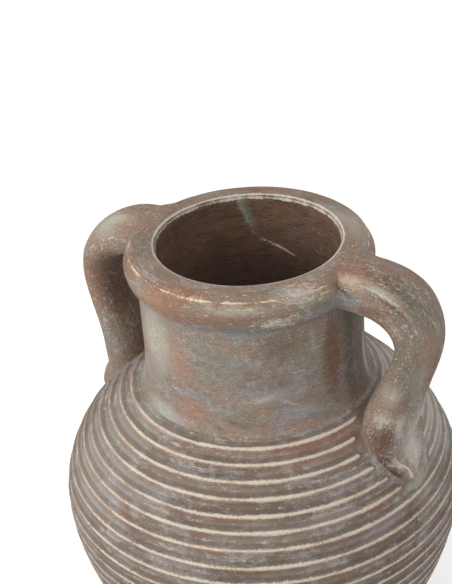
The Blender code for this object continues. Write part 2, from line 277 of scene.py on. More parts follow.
    height = node("ShaderNodeMath", bristle, marks["bristleRelief"], grain, operation="MULTIPLY_ADD")
    height = node("ShaderNodeMath", smudge, marks["smudgeRelief"], height, operation="MULTIPLY_ADD")
    inputs = {"Height": height, "Strength": look["bump"], "Distance": marks["relief"] * mm}
    bump = node("ShaderNodeBump", inputs)
    rough, gloss = look["roughness"], marks["gloss"]
    roughness = node("ShaderNodeMapRange", smudge, *marks["glossRange"], rough - gloss, rough + gloss)
    inputs = {"Base Color": colour, "Roughness": roughness, "Normal": bump, "Metallic": 0.0}
    shader = node("ShaderNodeBsdfPrincipled", dict(inputs, IOR=marks["ior"]))
    node("ShaderNodeOutputMaterial", {"Surface": shader})
    return material


# Outlines of the thrown pieces, as (radius, height) in mm. Each runs down its outer side.


def boxOf(node):
    return [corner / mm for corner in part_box(node)]


rimLow, rimHigh = boxOf("rim")
shoulderLow, shoulderHigh = boxOf("shoulder")
slabLow, slabHigh = boxOf("base_slab")
ringHigh = boxOf("foot_ring")[1]

pot = dict(
    top=rimHigh.z,
    lip=rimLow.z,
    neckBase=shoulderHigh.z,
    flareRadius=boxOf("neck")[1].x,
    belly=shoulderLow.z,
    bellyRadius=180.5,
    footTop=ringHigh.z,
    footRadius=ringHigh.x,
    neckRadius=96.5,
    boreRadius=80.0,
    wall=12.0,
    neckSlope=31.4,  # degrees below level where the neck runs into the shoulder
    footSlope=60.0,  # degrees above level where the body meets the foot
    flareHeight=45.0,  # how far up the neck its flare begins
    flareLeadDown=31.5,  # pull of the flare's curve, at its top and at its base
    flareLeadOut=3.7,
    shoulderLead=39.0,  # pull of the shoulder's curve, at the neck and at the belly
    bellyLeadUp=47.0,
    bellyLeadDown=70.0,  # pull of the lower body's curve, at the belly and at the foot
    footLead=58.0,
)


def bend(start, startLead, endLead, end, count=120):
    t = np.linspace(0, 1, count)[:, None]
    start, startLead, endLead, end = map(np.array, (start, startLead, endLead, end))
    leads = 3 * t * (1 - t) ** 2 * startLead + 3 * t * t * (1 - t) * endLead
    return (1 - t) ** 3 * start + leads + t**3 * end


def through(points, perSpan=12):
    # a smooth line through the points
    points = np.array(points, float)
    padded = np.vstack([2 * points[0] - points[1], points, 2 * points[-1] - points[-2]])
    line = []
    for a, b, c, d in zip(padded, padded[1:], padded[2:], padded[3:]):
        for t in np.linspace(0, 1, perSpan, endpoint=False):
            square = (2 * a - 5 * b + 4 * c - d) * t**2
            cube = (3 * b - a - 3 * c + d) * t**3
            line.append(0.5 * (2 * b + (c - a) * t + square + cube))
    line.append(points[-1])
    return np.array(line)


def lengths(line):
    return np.concatenate([[0], np.cumsum(np.hypot(*np.diff(line, axis=0).T))])


def spaced(line, spacing):
    # the same line with a point about every this many mm, its ends kept
    line = np.array(line, float)
    travel = lengths(line)
    count = max(2, round(travel[-1] / spacing) + 1)
    even = np.linspace(0, travel[-1], count)
    return np.stack([np.interp(even, travel, line[:, 0]), np.interp(even, travel, line[:, 1])], 1)


def smoothStep(low, high, value):
    t = np.clip((value - low) / (high - low), 0, 1)
    return t * t * (3 - 2 * t)


def inward(line, depth):
    direction = np.gradient(line, axis=0)
    direction /= np.hypot(*direction.T)[:, None]
    return line - np.stack([-direction[:, 1], direction[:, 0]], 1) * depth


def pull(degrees, length):
    # a step of this length away from the axis, so many degrees over level
    slope = math.radians(degrees)
    return np.array((math.cos(slope), math.sin(slope))) * length


def neckLine():
    base = np.array((pot["flareRadius"], pot["neckBase"]))
    flareTop = np.array((pot["neckRadius"], pot["neckBase"] + pot["flareHeight"]))
    lead = pull(-pot["neckSlope"], pot["flareLeadOut"])
    flare = bend(flareTop, flareTop - (0, pot["flareLeadDown"]), base - lead, base)
    return np.vstack([[(pot["neckRadius"], pot["lip"])], flare])


def shoulderLine():
    base = np.array((pot["flareRadius"], pot["neckBase"]))
    belly = np.array((pot["bellyRadius"], pot["belly"]))
    lead = pull(-pot["neckSlope"], pot["shoulderLead"])
    return bend(base, base + lead, belly + (0, pot["bellyLeadUp"]), belly)


def bodyLine():
    belly = np.array((pot["bellyRadius"], pot["belly"]))
    foot = np.array((pot["footRadius"], pot["footTop"]))
    lead = pull(pot["footSlope"], pot["footLead"])
    return bend(belly, belly - (0, pot["bellyLeadDown"]), foot + lead, foot)


# the rolled rim, from the mouth's edge over the top and down to the neck: radius, and drop below the top
rimTurns = [
    (78.1, 6.0), (78.3, 3.6), (79.0, 1.6), (80.6, 0.35), (83.0, 0.0), (90.0, 0.25),
    (95.6, 0.9), (99.4, 2.2), (101.9, 4.1), (103.1, 6.8), (104.6, 9.3), (106.2, 12.2),
    (106.7, 15.6), (105.6, 21.4), (103.2, 26.6), (100.6, 30.2), (98.4, 32.3), (97.0, 32.5),
]


def rimLine():
    return through([(radius, pot["top"] - drop) for radius, drop in rimTurns])


def mouthEdge():
    radius, drop = rimTurns[0]
    return radius, pot["top"] - drop


# Turned and ribbed clay: the tree spins an outline round the pot's axis, draws the ribs on it and
# smooths them away where a handle was pressed on. Sizes are in mm.

turning = [
    ("Around", "NodeSocketInt", 360),  # faces round the axis
    ("Along", "NodeSocketInt", 100),  # points of the outline
    ("First Rib", "NodeSocketFloat", -1000.0),  # along the outline, and far off it where a piece has no ribs
    ("Last Rib", "NodeSocketFloat", -990.0),
    ("Rib Pitch", "NodeSocketFloat", 13.2),
    ("Rib Height", "NodeSocketFloat", 0.0),
    ("Rib Softness", "NodeSocketFloat", 1.7),
    ("Valley Depth", "NodeSocketFloat", 0.0),
    ("Pitch Wander", "NodeSocketFloat", 0.5),
    ("Seed", "NodeSocketInt", 3),
    ("Handles", "NodeSocketCollection", None),
    ("Fade Start", "NodeSocketFloat", 2.5),  # from a handle: here the ribs are gone
    ("Fade End", "NodeSocketFloat", 11.0),  # and here they are whole
    ("Lump Height", "NodeSocketFloat", 0.35),
    ("Lump Size", "NodeSocketFloat", 38.0),
    ("Material", "NodeSocketMaterial", None),
]


def turningTree():
    tree = bpy.data.node_groups.new("turned and ribbed clay", "GeometryNodeTree")
    tree.interface.new_socket(name="Geometry", in_out="INPUT", socket_type="NodeSocketGeometry")
    for name, kind, value in turning:
        socket = tree.interface.new_socket(name=name, in_out="INPUT", socket_type=kind)
        if value is not None:
            socket.default_value = value
    tree.interface.new_socket(name="Geometry", in_out="OUTPUT", socket_type="NodeSocketGeometry")
    node = partial(addNode, tree)
    given = node("NodeGroupInput").outputs

    # a grid with a column for each step round and a row for each point of the outline, wrapped into a ring
    columns = node("ShaderNodeMath", given["Around"], 1.0, operation="ADD")
    rows = node("ShaderNodeMath", given["Along"], 1.0, operation="ADD")
    shape = node("GeometryNodeMeshGrid", {"Vertices X": columns, "Vertices Y": rows})
    index = node("GeometryNodeInputIndex")
    step = node("ShaderNodeMath", index, rows, operation="DIVIDE")
    step = node("ShaderNodeMath", step, operation="FLOOR")
    row = node("ShaderNodeMath", index, rows, operation="MODULO")
    row = node("ShaderNodeMath", row, given["Along"], operation="MODULO")
    angle = node("ShaderNodeMath", step, given["Around"], operation="DIVIDE")
    angle = node("ShaderNodeMath", angle, math.tau, operation="MULTIPLY")
    position = node("GeometryNodeInputPosition")
    travel = node("GeometryNodeInputNamedAttribute", {"Name": "travel"}, data_type="FLOAT")
    outward = node("GeometryNodeInputNamedAttribute", {"Name": "outward"}, data_type="FLOAT_VECTOR")
    loose = node("GeometryNodeInputNamedAttribute", {"Name": "loose"}, data_type="FLOAT")
    sampled = []
    for kind, field in (
        ("FLOAT_VECTOR", position), ("FLOAT", travel), ("FLOAT_VECTOR", outward), ("FLOAT", loose)
    ):
        inputs = {"Geometry": given["Geometry"], "Value": field, "Index": row}
        sampled.append(node("GeometryNodeSampleIndex", inputs, data_type=kind, domain="POINT"))
    spot, spotTravel, spotOutward, spotLoose = sampled
    spot = node("ShaderNodeVectorRotate", {"Vector": spot, "Angle": angle}, rotation_type="Z_AXIS")
    inputs = {"Vector": spotOutward, "Angle": angle}
    spotOutward = node("ShaderNodeVectorRotate", inputs, rotation_type="Z_AXIS")
    for name, kind, field in (
        ("travel", "FLOAT", spotTravel),
        ("outward", "FLOAT_VECTOR", spotOutward),
        ("loose", "FLOAT", spotLoose),
    ):
        inputs = {"Geometry": shape, "Name": name, "Value": field}
        shape = node("GeometryNodeStoreNamedAttribute", inputs, data_type=kind, domain="POINT")
    shape = node("GeometryNodeSetPosition", {"Geometry": shape, "Position": spot})

    # which rib is nearest, how far away it is, and how high the clay stands there
    run = node("ShaderNodeMath", given["Last Rib"], given["First Rib"], operation="SUBTRACT")
    spaces = node("ShaderNodeMath", run, given["Rib Pitch"], operation="DIVIDE")
    spaces = node("ShaderNodeMath", spaces, operation="ROUND")
    pitch = node("ShaderNodeMath", run, spaces, operation="DIVIDE")
    past = node("ShaderNodeMath", travel, given["First Rib"], operation="SUBTRACT")
    place = node("ShaderNodeMath", past, pitch, operation="DIVIDE")
    number = node("ShaderNodeMath", place, operation="ROUND")
    number = node("ShaderNodeMath", number, 0.0, operation="MAXIMUM")
    number = node("ShaderNodeMath", number, spaces, operation="MINIMUM")
    inputs = {"ID": number, "Seed": given["Seed"], 2: -1.0, 3: 1.0}
    wander = node("FunctionNodeRandomValue", inputs, data_type="FLOAT").outputs[1]
    wander = node("ShaderNodeMath", wander, given["Pitch Wander"], operation="MULTIPLY")
    middle = node("ShaderNodeMath", number, pitch, wander, operation="MULTIPLY_ADD")
    away = node("ShaderNodeMath", past, middle, operation="SUBTRACT")
    narrow = node("ShaderNodeMath", away, given["Rib Softness"], operation="DIVIDE")
    narrow = node("ShaderNodeMath", narrow, narrow, operation="MULTIPLY")
    narrow = node("ShaderNodeMath", narrow, -1.0, operation="MULTIPLY")
    rise = node("ShaderNodeMath", narrow, operation="EXPONENT")
    rise = node("ShaderNodeMath", rise, given["Rib Height"], operation="MULTIPLY")
    phase = node("ShaderNodeMath", away, pitch, operation="DIVIDE")
    phase = node("ShaderNodeMath", phase, math.tau, operation="MULTIPLY")
    wave = node("ShaderNodeMath", phase, operation="COSINE")
    dip = node("ShaderNodeMath", wave, -0.5, 0.5, operation="MULTIPLY_ADD")
    pastFirst = node("ShaderNodeMath", place, 0.0, operation="GREATER_THAN")
    beforeLast = node("ShaderNodeMath", place, spaces, operation="LESS_THAN")
    dip = node("ShaderNodeMath", dip, pastFirst, operation="MULTIPLY")
    dip = node("ShaderNodeMath", dip, beforeLast, operation="MULTIPLY")
    dip = node("ShaderNodeMath", dip, given["Valley Depth"], operation="MULTIPLY")
    relief = node("ShaderNodeMath", rise, dip, operation="SUBTRACT")

    # smoothed by the thumb near a handle
    inputs = {"Collection": given["Handles"]}
    handles = node("GeometryNodeCollectionInfo", inputs, transform_space="ORIGINAL")
    handles = node("GeometryNodeRealizeInstances", handles)
    inputs = {"Geometry": handles, "Sample Position": position}
    near = node("GeometryNodeProximity", inputs, target_element="FACES").outputs["Distance"]
    near = node("ShaderNodeMath", near, mm, operation="DIVIDE")
    inputs = {0: near, 1: given["Fade Start"], 2: given["Fade End"], 3: 0.0, 4: 1.0}
    kept = node("ShaderNodeMapRange", inputs, interpolation_type="SMOOTHSTEP")
    relief = node("ShaderNodeMath", relief, kept, operation="MULTIPLY")

    # hand-thrown walls are never quite true, but they meet where they are joined
    lumpScale = node("ShaderNodeMath", 1 / mm, given["Lump Size"], operation="DIVIDE")
    lumps = node("ShaderNodeTexNoise", {"Vector": position, "Scale": lumpScale, "Detail": 2.0})
    lumps = node("ShaderNodeMath", lumps, 0.5, operation="SUBTRACT")
    lumps = node("ShaderNodeMath", lumps, 2.0, operation="MULTIPLY")
    lumps = node("ShaderNodeMath", lumps, loose, operation="MULTIPLY")
    relief = node("ShaderNodeMath", lumps, given["Lump Height"], relief, operation="MULTIPLY_ADD")
    relief = node("ShaderNodeMath", relief, mm, operation="MULTIPLY")
    offset = node("ShaderNodeVectorMath", {0: outward, "Scale": relief}, operation="SCALE")

    # what the material reads, in mm: how far the nearest crest is, or 9 more where it is smoothed away, and
    # the run of the brush. Slope is 1 where the valley falls away below a crest and -1 where it rises again.
    crest = node("ShaderNodeMath", away, operation="ABSOLUTE")
    lost = node("ShaderNodeMath", kept, -9.0, 9.0, operation="MULTIPLY_ADD")
    crest = node("ShaderNodeMath", crest, lost, operation="ADD")
    slope = node("ShaderNodeMath", phase, operation="SINE")
    inMm = node("ShaderNodeVectorMath", {0: position, "Scale": 1 / mm}, operation="SCALE")
    parts = node("ShaderNodeSeparateXYZ", inMm).outputs
    brush = node("ShaderNodeCombineXYZ", parts[0], parts[1], travel)
    for name, kind, field in (
        ("crest", "FLOAT", crest), ("slope", "FLOAT", slope), ("brush", "FLOAT_VECTOR", brush)
    ):
        inputs = {"Geometry": shape, "Name": name, "Value": field}
        shape = node("GeometryNodeStoreNamedAttribute", inputs, data_type=kind, domain="POINT")
    shape = node("GeometryNodeSetPosition", {"Geometry": shape, "Offset": offset})
    shape = node("GeometryNodeMergeByDistance", {"Geometry": shape, "Distance": 1e-6})
    shape = node("GeometryNodeSetShadeSmooth", {"Geometry": shape})
    shape = node("GeometryNodeRealizeInstances", {"Geometry": shape})
    shape = node("GeometryNodeSetMaterial", {"Geometry": shape, "Material": given["Material"]})
    node("NodeGroupOutput", {"Geometry": shape})
    return tree


def setInputs(modifier, values):
    items = modifier.node_group.interface.items_tree
    names = {item.name: item.identifier for item in items if item.in_out == "INPUT"}
    for name, value in values.items():
        modifier[names[name]] = value


def finished(name, mesh, material):
    mesh.materials.clear()
    mesh.materials.append(material)
    mesh.set_sharp_from_angle(angle=math.radians(joint["sharp"]))
    return addObject(name, mesh)


def addField(mesh, name, kind, values):
    kept = "value" if kind == "FLOAT" else "vector"
    mesh.attributes.new(name, kind, "POINT").data.foreach_set(kept, values.astype(np.float32).ravel())


def bends(outline):
    # how far a closed outline turns at each of its points, in radians
    before, after = outline - np.roll(outline, 1, 0), np.roll(outline, -1, 0) - outline
    cross = before[:, 0] * after[:, 1] - before[:, 1] * after[:, 0]
    return np.abs(np.arctan2(cross, (before * after).sum(1)))


def turnPiece(name, tree, outline, material, sizes):
    # spins a closed outline of (radius, height) points in mm
    outline = outline[np.hypot(*(outline - np.roll(outline, 1, 0)).T) > 1e-4]
    mesh = bpy.data.meshes.new(name + " outline")
    mesh.from_pydata([(radius * mm, 0, height * mm) for radius, height in outline], [], [])
    travel = lengths(outline)
    along = np.roll(outline, -1, 0) - np.roll(outline, 1, 0)
    along /= np.hypot(*along.T)[:, None]
    outward = np.stack([-along[:, 1], 0 * along[:, 0], along[:, 0]], 1)
    corners = travel[bends(outline) > math.radians(joint["corner"])]
    loose = smoothStep(0, joint["held"], np.abs(travel[:, None] - corners).min(1))
    addField(mesh, "loose", "FLOAT", loose)
    addField(mesh, "travel", "FLOAT", travel)
    addField(mesh, "outward", "FLOAT_VECTOR", outward)
    spun = addObject(name + " outline", mesh)
    modifier = spun.modifiers.new("Turn", "NODES")
    modifier.node_group = tree
    setInputs(modifier, sizes | {"Along": len(outline), "Material": material})
    bpy.context.view_layer.update()
    graph = bpy.context.evaluated_depsgraph_get()
    made = bpy.data.meshes.new_from_object(spun.evaluated_get(graph))
    bpy.data.objects.remove(spun, do_unlink=True)
    made.name = name
    for attribute in ("travel", "outward", "loose"):
        made.attributes.remove(made.attributes[attribute])
    print("turned", name, len(made.polygons), "faces")
    return finished(name, made, material)


# Outlines of the pieces, each started at a joint that doesn't show

joint = dict(
    tongue=9.5,  # height of the step between two thrown pieces
    slip=0.3,  # film of slip in the joints
    socketFoot=5.5,  # clay of the shoulder below the neck's tongue
    corner=25,  # degrees: where an outline turns more than this, two pieces or faces meet
    sharp=50,  # degrees: an edge that turns more than this isn't shaded smooth
    held=9.0,  # mm from there over which the wall's lumps grow
    fine=0.8,  # spacing of the points that show
    lip=0.55,  # on the rim
    low=1.05,  # on the lower body
    bore=1.5,  # in the neck
    coarse=3.0,  # and inside the belly
)


def tongueRadius():
    return (pot["neckRadius"] + pot["boreRadius"]) / 2


def bellyTongueRadius():
    return pot["bellyRadius"] - pot["wall"] / 2


def rimOutline():
    socket = tongueRadius() + joint["slip"]
    tongueTop = pot["lip"] + joint["tongue"]
    return np.vstack([
        [(socket, pot["lip"]), (socket, tongueTop)],
        spaced([(pot["boreRadius"], tongueTop), mouthEdge()], joint["fine"]),
        spaced(rimLine(), joint["lip"]),
    ])


def neckOutline():
    tongue = tongueRadius()
    tongueTop = pot["lip"] + joint["tongue"]
    foot = pot["neckBase"] - joint["tongue"]
    return np.vstack([
        [(tongue, tongueTop), (tongue, pot["lip"])],
        spaced(neckLine(), joint["fine"]),
        [(tongue, pot["neckBase"]), (tongue, foot)],
        spaced([(pot["boreRadius"], foot), (pot["boreRadius"], tongueTop)], joint["bore"]),
    ])


def shoulderOutline():
    line = shoulderLine()
    socket = tongueRadius() + joint["slip"]
    lapRadius = bellyTongueRadius() + joint["slip"]
    lapTop = pot["belly"] + joint["tongue"]
    inner = inward(line, pot["wall"])
    inner = inner[inner[:, 1] > lapTop + joint["tongue"]]
    return np.vstack([
        [(socket, pot["neckBase"] - joint["slip"])],
        spaced(line, joint["fine"]),
        [(lapRadius, pot["belly"]), (lapRadius, lapTop), (pot["bellyRadius"] - pot["wall"], lapTop)],
        spaced(inner[::-1], joint["coarse"]),
        [(socket, pot["neckBase"] - joint["tongue"] - joint["socketFoot"])],
    ])


def bodyOutline():
    line = bodyLine()
    socket = slabHigh.x + joint["slip"]
    tongueTop = pot["belly"] + joint["tongue"] - joint["slip"]
    tongue = bellyTongueRadius()
    inner = inward(line, pot["wall"])
    inner = inner[inner[:, 1] > slabHigh.z + pot["wall"]]
    return np.vstack([
        [(pot["bellyRadius"] - pot["wall"], tongueTop), (tongue, tongueTop), (tongue, pot["belly"])],
        spaced(line, joint["low"]),
        [(socket, pot["footTop"] + joint["slip"]), (socket, slabHigh.z)],
        spaced(inner[::-1], joint["coarse"]),
    ])


drain = dict(hole=12.0, edge=1.8)  # radius of the hole, and rounding of its edges


def slabOutline():
    hole, edge = drain["hole"], drain["edge"]
    top, bottom = slabHigh.z, slabLow.z
    upper = [(hole, top - edge), (hole + 0.3 * edge, top - 0.3 * edge), (hole + edge, top)]
    lower = [(hole + edge, bottom), (hole + 0.3 * edge, bottom + 0.3 * edge), (hole, bottom + edge)]
    return np.vstack([
        spaced(through(upper, 6), 0.5),
        spaced([(hole + edge, top), (slabHigh.x, top)], 2.0),
        spaced([(slabHigh.x, bottom), (hole + edge, bottom)], 2.0),
        spaced(through(lower, 6), 0.5),
        spaced([(hole, bottom + edge), (hole, top - edge)], 2.0),
    ])


footRing = dict(width=20.0, drop=0.02)  # it stays this far under the CAD ring's top


def ringOutline():
    outer, top = pot["footRadius"], ringHigh.z - footRing["drop"]
    inner = outer - footRing["width"]
    tread = through([
        (outer, top), (outer - 0.3, top - 4), (outer - 0.7, 3.2), (outer - 1.8, 1.2), (outer - 4.0, 0.1),
        (outer - 8.0, 0), (inner + 8.0, 0), (inner + 3.5, 0.2), (inner + 1.2, 1.4), (inner + 0.2, 3.6),
        (inner, top),
    ], 8)
    tread[:, 1] = np.maximum(tread[:, 1], 0)
    return np.vstack([spaced(tread, joint["fine"]), spaced([(inner, top), (outer, top)], 4.0)])


# Handles: a pulled strap of clay as a field of distances, melted into the pot's own and cut off under
# its skin

rightShape = dict(
    turn=0.0,  # degrees round from the pot's X axis
    root=(89.6, 432.3),  # radius and height where it leaves the rim
    rootTilt=7.0,  # degrees over level
    bend=(159.5, 389.3),  # where it stands farthest out
    landing=39.8, tip=77.0,  # mm down the shoulder from the neck's base, where it lands and where it ends
    leadOut=58.0, leadBend=21.2, leadDown=35.9, padLead=12.0,  # pull of its curve at those places
    stations=(0.0, 0.22, 0.51, 0.79, 0.92, 1.0),  # shares of its length, for the six values of each row
    halfWidths=(32.8, 31.5, 29.2, 38.5, 33.0, 8.0),
    halfDepths=(19.0, 21.0, 18.1, 21.8, 14.0, 7.0),
    sways=(0.0, 0.0, 0.0, 0.5, -2.5, -20.0),  # how far the middle leans to the handle's left
    ridges=(-0.35, -0.35, -0.30, -0.50, -0.88, -0.5),  # where its ridge runs, as a share of the half width
    crowns=(1.85, 1.85, 1.8, 1.35, 1.15, 1.15),  # roundness of the outer face: 2 is an oval, less a ridge
    back=2.3,  # roundness of the face towards the pot
    melt=(2.5, 12.0),  # how far the clay is smeared on the one side and on the other
    meltOver=14.0,  # half the width over which the one goes over into the other
    sunk=0.8,  # the smear's edge lies this far under the pot's skin
    skin=2.4,  # depth of clay kept under the smear
    reach=15.0,  # how far round the handle that skin goes
    stop=4.0,  # the root ends this far outside the bore
    spacing=0.6,  # of the points of its curve
    cell=1.25,  # spacing of the field
    lump=0.5, lumpSize=26.0,  # height of the hand's lumps, and how far apart they are
    thumbed=(53.0, -18.0, 22.0, 90),  # smoothed by thumb: mm down the shoulder, sideways, reach, strokes
    firmness=0.6,  # share of the way that each stroke takes a point
)

# the left one was pulled as its mirror image
leftShape = dict(
    rightShape, turn=177.0, root=(89.6, 430.9), leadOut=48.7, bend=(155.2, 380.1), leadBend=35.8,
    leadDown=37.0, landing=36.6, tip=83.0, padLead=14.3,
    halfWidths=(32.8, 37.7, 27.4, 36.0, 24.0, 9.0),
    halfDepths=(19.0, 18.2, 17.4, 19.9, 16.5, 6.0),
    sways=(0.0, 2.3, 5.4, 3.5, 6.0, 14.0),
    ridges=(0.0, 0.0, 0.05, 0.35, 0.5, 0.45),
    crowns=(1.8, 1.8, 1.8, 1.7, 1.5, 1.5),
    melt=(12.0, 4.0), thumbed=(50.0, 18.0, 22.0, 60),
)

tableLow, tableHigh, tableStep = (60.0, 180.0), (200.0, 470.0), 1.0  # radius and height, in mm
handleLow, handleHigh = (66.0, -66.0, 206.0), (190.0, 66.0, 466.0)  # the box that holds a handle


def alongLine(line, distance):
    travel = lengths(line)
    i = int(np.clip(np.searchsorted(travel, distance) - 1, 0, len(line) - 2))
    direction = (line[i + 1] - line[i]) / (travel[i + 1] - travel[i])
    return line[i] + direction * (distance - travel[i]), direction


def handlePath(shape):
    shoulder = shoulderLine()
    root, bendPoint = np.array(shape["root"]), np.array(shape["bend"])
    landing, _ = alongLine(shoulder, shape["landing"])
    tip, slope = alongLine(shoulder, shape["tip"])
    leadOut = pull(shape["rootTilt"], shape["leadOut"])
    leadBend, leadDown, padLead = (np.array((0, shape[name])) for name in ("leadBend", "leadDown", "padLead"))
    over = bend(root, root + leadOut, bendPoint + leadBend, bendPoint)
    fall = bend(bendPoint, bendPoint - leadBend, landing + leadDown, landing)
    pad = bend(landing, landing - padLead, tip - slope * shape["padLead"], tip)
    return spaced(np.vstack([over, fall[1:], pad[1:]]), shape["spacing"])


def eased(stations, values, place):
    # a smooth line through the values at the stations
    stations, values = np.array(stations), np.array(values)
    slopes = np.gradient(values, stations)
    i = np.clip(np.searchsorted(stations, place) - 1, 0, len(stations) - 2)
    width = stations[i + 1] - stations[i]
    t = (place - stations[i]) / width
    a = (2 * t**3 - 3 * t**2 + 1) * values[i] + (t**3 - 2 * t**2 + t) * width * slopes[i]
    return a + (3 * t**2 - 2 * t**3) * values[i + 1] + (t**3 - t**2) * width * slopes[i + 1]


def lookUp(table, radius, height):
    # reads a table, between its points
    i = np.clip((radius - tableLow[0]) / tableStep, 0, table.shape[0] - 1.001)
    j = np.clip((height - tableLow[1]) / tableStep, 0, table.shape[1] - 1.001)
    i0, j0 = i.astype(int), j.astype(int)
    u, v = i - i0, j - j0
    near = table[i0, j0] * (1 - v) + table[i0, j0 + 1] * v
    far = table[i0 + 1, j0] * (1 - v) + table[i0 + 1, j0 + 1] * v
    return near * (1 - u) + far * u


def nearestOn(line):
    # two tables: where on the line the nearest point is, and how far out of the line each place lies
    spans = [np.arange(low, high, tableStep) for low, high in zip(tableLow, tableHigh)]
    a, b = np.meshgrid(*spans, indexing="ij")
    travel = lengths(line)
    start, edge = line[:-1], np.diff(line, axis=0)
    size = (edge**2).sum(1)
    place, away = np.empty(a.shape), np.empty(a.shape)
    for i in range(len(a)):
        spot = np.stack([a[i], b[i]], 1)[:, None, :]
        share = np.clip(((spot - start) * edge).sum(2) / size, 0, 1)
        foot = start + edge * share[..., None]
        gap = np.hypot(*np.moveaxis(spot - foot, 2, 0))
        best = gap.argmin(1)
        rows = np.arange(len(best))
        nearest = foot[rows, best]
        side = edge[best, 0] * (b[i] - nearest[:, 1]) - edge[best, 1] * (a[i] - nearest[:, 0])
        place[i] = travel[best] + share[rows, best] * np.sqrt(size[best])
        away[i] = gap[rows, best] * np.where(side > 0, 1, -1)
    return place, away


def potField():
    bore = [(pot["boreRadius"], pot["lip"] - 20), mouthEdge()]
    outside = np.vstack([bore, rimLine()[1:], neckLine(), shoulderLine()[1:], bodyLine()[1:40]])
    return nearestOn(spaced(outside, 1.0))[1]


def handleField(shape, potTable):
    path = handlePath(shape)
    length = lengths(path)[-1]
    placeTable, awayTable = nearestOn(path)
    ends = [(*path[0], *(path[1] - path[0])), (*path[-1], *(path[-1] - path[-2]))]

    def strap(x, y, z):
        # distance from the strap, where along it, and how far out of its path and from its ridge
        place = lookUp(placeTable, x, z) / length
        out = lookUp(awayTable, x, z)
        values = {
            name: eased(shape["stations"], shape[name], place)
            for name in ("sways", "halfWidths", "halfDepths", "ridges", "crowns")
        }
        side = y - values["sways"]
        halfWidth = values["halfWidths"]
        ridge = values["ridges"] * halfWidth
        flank = np.where(side > ridge, halfWidth - ridge, halfWidth + ridge)
        power = np.where(out > 0, values["crowns"], shape["back"])
        across = np.abs((side - ridge) / flank) ** power
        size = (np.abs(out / values["halfDepths"]) ** power + across) ** (1 / power)
        gap = np.hypot(out, side - ridge) * (1 - 1 / np.maximum(size, 1e-6))
        for (a, b, da, db), sign in zip(ends, (-1, 1)):
            beyond = sign * ((x - a) * da + (z - b) * db) / math.hypot(da, db)
            gap = np.where(beyond > 0, np.hypot(np.maximum(gap, 0), np.maximum(beyond, 0)), gap)
        return gap, place * length, out, side, side - ridge

    def field(x, y, z):
        # below zero inside the clay
        gap, _, _, side, _ = strap(x, y, z)
        skin = lookUp(potTable, np.hypot(x, y), z)
        left, right = shape["melt"]
        melt = left + (right - left) * smoothStep(-shape["meltOver"], shape["meltOver"], side)
        overlap = np.maximum(melt - np.abs(gap - skin), 0) / melt
        clay = np.minimum(gap, skin) - overlap**2 * melt / 4
        clay = np.maximum(clay + shape["sunk"], -(skin + shape["skin"]))
        clay = np.maximum(clay, gap - shape["reach"])
        return np.maximum(clay, pot["boreRadius"] + shape["stop"] - np.hypot(x, y))

    return field, strap


def closedSurface(field, low, high, cell):
    # the closed surface where the field is zero, with one point in each cell of the grid that it crosses
    axes = [np.arange(a, b + cell, cell) for a, b in zip(low, high)]
    value = field(*np.meshgrid(*axes, indexing="ij", sparse=True))
    cells = tuple(n - 1 for n in value.shape)
    total, count = np.zeros(cells + (3,)), np.zeros(cells)
    for axis in range(3):
        first, second = (axis + 1) % 3, (axis + 2) % 3
        for u, v in ((0, 0), (0, 1), (1, 0), (1, 1)):
            corner = np.zeros(3, int)
            corner[first], corner[second] = u, v
            near = value[tuple(slice(c, c + n) for c, n in zip(corner, cells))]
            corner[axis] = 1
            far = value[tuple(slice(c, c + n) for c, n in zip(corner, cells))]
            crossed = (near < 0) != (far < 0)
            total[..., axis] += np.where(crossed, near / np.where(crossed, near - far, 1), 0)
            total[..., first] += crossed * u
            total[..., second] += crossed * v
            count += crossed
    mixed = count > 0
    number = np.full(cells, -1)
    number[mixed] = np.arange(mixed.sum())
    points = np.array(low) + (np.argwhere(mixed) + total[mixed] / count[mixed][:, None]) * cell
    faces = []
    inside = value < 0
    for axis in range(3):
        first, second = np.eye(3, dtype=int)[(axis + 1) % 3], np.eye(3, dtype=int)[(axis + 2) % 3]
        turned = np.moveaxis(inside, axis, 0)
        edges = np.argwhere(np.moveaxis(turned[:-1] != turned[1:], 0, axis))
        starts = inside[tuple(edges.T)]
        ring = [number[tuple((edges - step).T)] for step in (first + second, second, 0 * first, first)]
        ring = np.stack(ring, 1)
        faces.append(np.where(starts[:, None], ring, ring[:, ::-1]))
    return points, np.vstack(faces)


def settle(field, points, rounds=3, reach=0.25, longest=0.4):
    # moves the points on to the surface, so that it is as smooth as the field
    for _ in range(rounds):
        slope = np.empty_like(points)
        for axis in range(3):
            step = np.eye(3)[axis] * reach
            slope[:, axis] = (field(*(points + step).T) - field(*(points - step).T)) / (2 * reach)
        steep = np.maximum((slope**2).sum(1), 0.3)
        move = field(*points.T)[:, None] * slope / steep[:, None]
        points = points - np.clip(move, -longest, longest)
    return points


def thumbed(points, faces, weight, strokes):
    # clay smoothed by hand: with each stroke a point moves towards the middle of its neighbours
    sides = np.vstack([faces[:, [i, (i + 1) % 4]] for i in range(4)])
    sides = np.vstack([sides, sides[:, ::-1]])
    count = np.bincount(sides[:, 0])[:, None]
    for _ in range(strokes):
        total = np.stack([np.bincount(sides[:, 0], points[sides[:, 1], axis]) for axis in range(3)], 1)
        points = points + weight[:, None] * (total / count - points)
    return points


